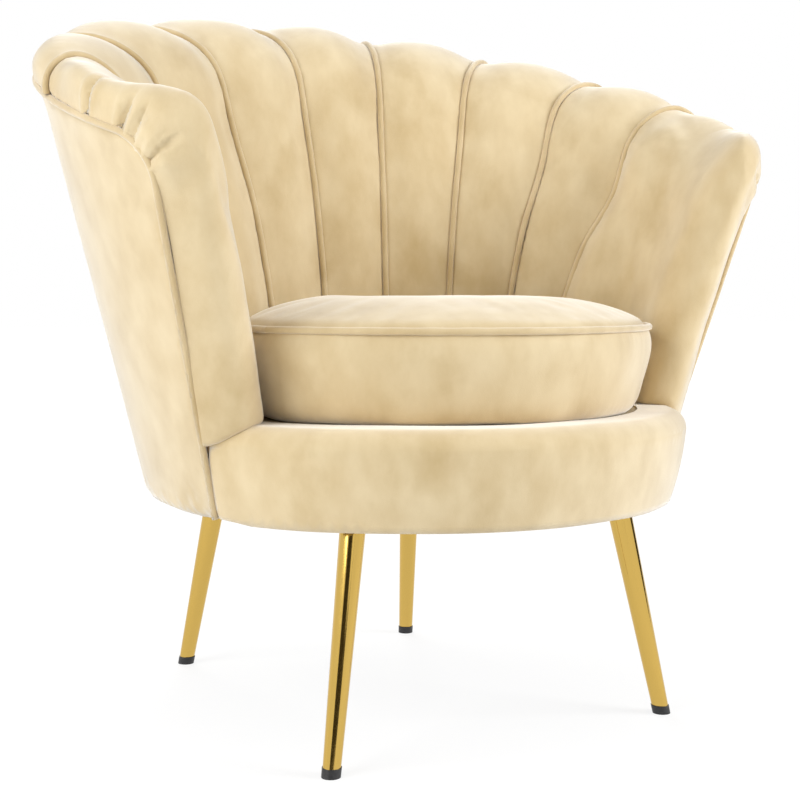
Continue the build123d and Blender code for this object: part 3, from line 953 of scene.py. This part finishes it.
def corner_distance(points):
    """Distance of each point from the nearer of the two arm corners."""
    left_corner = arm_corner * np.array([-1, 1, 1])
    return np.minimum(*(np.linalg.norm(points - spot, axis=1) for spot in (arm_corner, left_corner)))


for node, name, flat, area, under in VELVET_COVERS:
    cover = fine_copy(node, name, COVER_EDGE)
    points = get_points(cover)
    lift = COVER_LIFT + ripple(points, size=0.0006, length=0.16)
    set_points(cover, points + get_normals(cover) * lift[:, None])
    corner_share = 1 - fade(corner_distance(get_points(cover)), *COVER_CORNER_NEAR)
    snug(cover, COVER_REACH + COVER_CORNER_REACH * corner_share)
    stretch(cover, "velvet", node, flat, area, under)

# %% [markdown]
# ### Deck cloth and dust cover
# Two flat cloths close the drum: a plain one over the webbing, under the cushion, and a thin black one
# stapled below the base board. Both are stretched flat, and dip a little where nothing holds them up. A
# dip of under a millimetre needs no simulation, so the points are simply lowered.

# %% Deck cloth and dust cover
CLOTH_EDGE = 0.02
# Solid, name of the cloth, slot, flat size, area, the solid under it, and the dip.
DRUM_CLOTHS = (
    ("deck_cloth", "deck_cloth_sheet", "deck_cloth", (0.51, 0.38), 0.150, "webbing_along", 0.0006),
    ("dust_cover", "dust_cover_sheet", "dust_cloth", (0.54, 0.54), 0.229, "base_board", 0.0009),
)
for node, name, slot, flat, area, under, dip in DRUM_CLOTHS:
    drum_cloth = fine_copy(node, name, CLOTH_EDGE)
    points = get_points(drum_cloth)
    points[:, 2] -= dip + ripple(points, dip, length=0.09)
    set_points(drum_cloth, points)
    stretch(drum_cloth, slot, node, flat, area, under)

# %% [markdown]
# ### Seat cushion
# A boxed cushion has a top and a side wall joined by a piped seam. The seam and the underside are held
# while the top and the wall swell, so the top crowns. Pressure alone leaves the wall too straight at
# the front, so a belly is added below the cord there.

# %% Seat cushion
CUSHION_VOXEL = 0.005
CUSHION_FREE_ROUNDS = 12
CUSHION_FOOT_Z = 0.326
CUSHION_SEAM_Z = 0.416
CUSHION_SEAM_BAND = (0.003, 0.014)
CUSHION_FOOT_BAND = (0.328, 0.338)
TOP_FACING = 0.9
TOP_SWELL = 0.003
WALL_SWELL = 0.007
WALL_FACING = (0.3, 0.7)
BELLY = 0.008
BELLY_FULLNESS = 0.6
BELLY_FADE = (-0.10, -0.02)

cushion = merged_copy("cushion_pad", "cushion_cover")
apply_modifier(cushion, "REMESH", mode="VOXEL", voxel_size=CUSHION_VOXEL)
points = get_points(cushion)
tilt = np.abs(get_normals(cushion)[:, 2])
seam_gap = np.abs(points[:, 2] - CUSHION_SEAM_Z)
hold = (1 - fade(seam_gap, *CUSHION_SEAM_BAND)) * (tilt < TOP_FACING)
hold = np.maximum(hold, 1 - fade(points[:, 2], *CUSHION_FOOT_BAND))
relax(cushion, 1, EVEN_ROUNDS)
relax(cushion, 1 - hold, CUSHION_FREE_ROUNDS)
puff(cushion, hold, TOP_SWELL + WALL_SWELL * (1 - fade(tilt, *WALL_FACING)))
relax(cushion, 1 - hold, EVEN_ROUNDS)
apply_modifier(cushion, "SUBSURF", levels=1, render_levels=1)

points = get_points(cushion)
height = np.clip((points[:, 2] - CUSHION_FOOT_Z) / (CUSHION_SEAM_Z - CUSHION_FOOT_Z), 0, 1)
belly = np.sin(height * math.pi) ** BELLY_FULLNESS
belly *= BELLY * (1 - fade(points[:, 1], *BELLY_FADE))
lift = belly + ripple(points, size=0.0009, length=0.13)
set_points(cushion, points + get_normals(cushion) * lift[:, None])
dress(cushion, "seat_cushion", "velvet", "cushion_pad")
print("cushion points", len(cushion.data.vertices))
